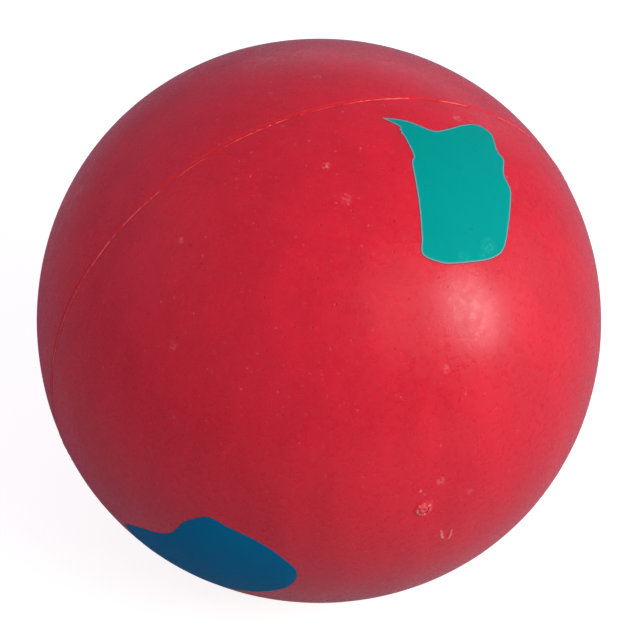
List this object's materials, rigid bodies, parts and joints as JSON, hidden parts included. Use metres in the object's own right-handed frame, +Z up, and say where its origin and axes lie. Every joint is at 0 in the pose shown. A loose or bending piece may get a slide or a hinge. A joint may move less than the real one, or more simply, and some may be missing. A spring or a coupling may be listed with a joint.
{
  "type": "playground ball",
  "caption": "Hollow red rubber playground ball with a moulded parting line, flush green and blue rubber inlays and a self-sealing needle valve.",
  "frame": {"origin": "centre of the ball", "axes": "-Y runs out through the needle valve along the mould axis; the two moulded halves meet on the XZ plane; +Z is up as the ball lies in the reference view"},
  "size_m": [0.2162, 0.2166, 0.2162],
  "materials": {
    "red_rubber": "satin, slightly dusty moulded rubber",
    "butyl_liner": "matt black butyl",
    "gum_strip": "matt gum tape",
    "housing_rubber": "matt dark rubber",
    "plug_gum": "soft satin gum",
    "green_rubber": "satin rubber",
    "blue_rubber": "satin rubber"
  },
  "bodies": {
    "root": {"cover_valve_half": "red_rubber", "cover_plain_half": "red_rubber", "liner_valve_half": "butyl_liner", "liner_plain_half": "butyl_liner", "seam_strip": "gum_strip", "valve_housing": "housing_rubber", "valve_plug": "plug_gum", "green_inlay": "green_rubber", "blue_inlay": "blue_rubber"}
  },
  "joints": []
}
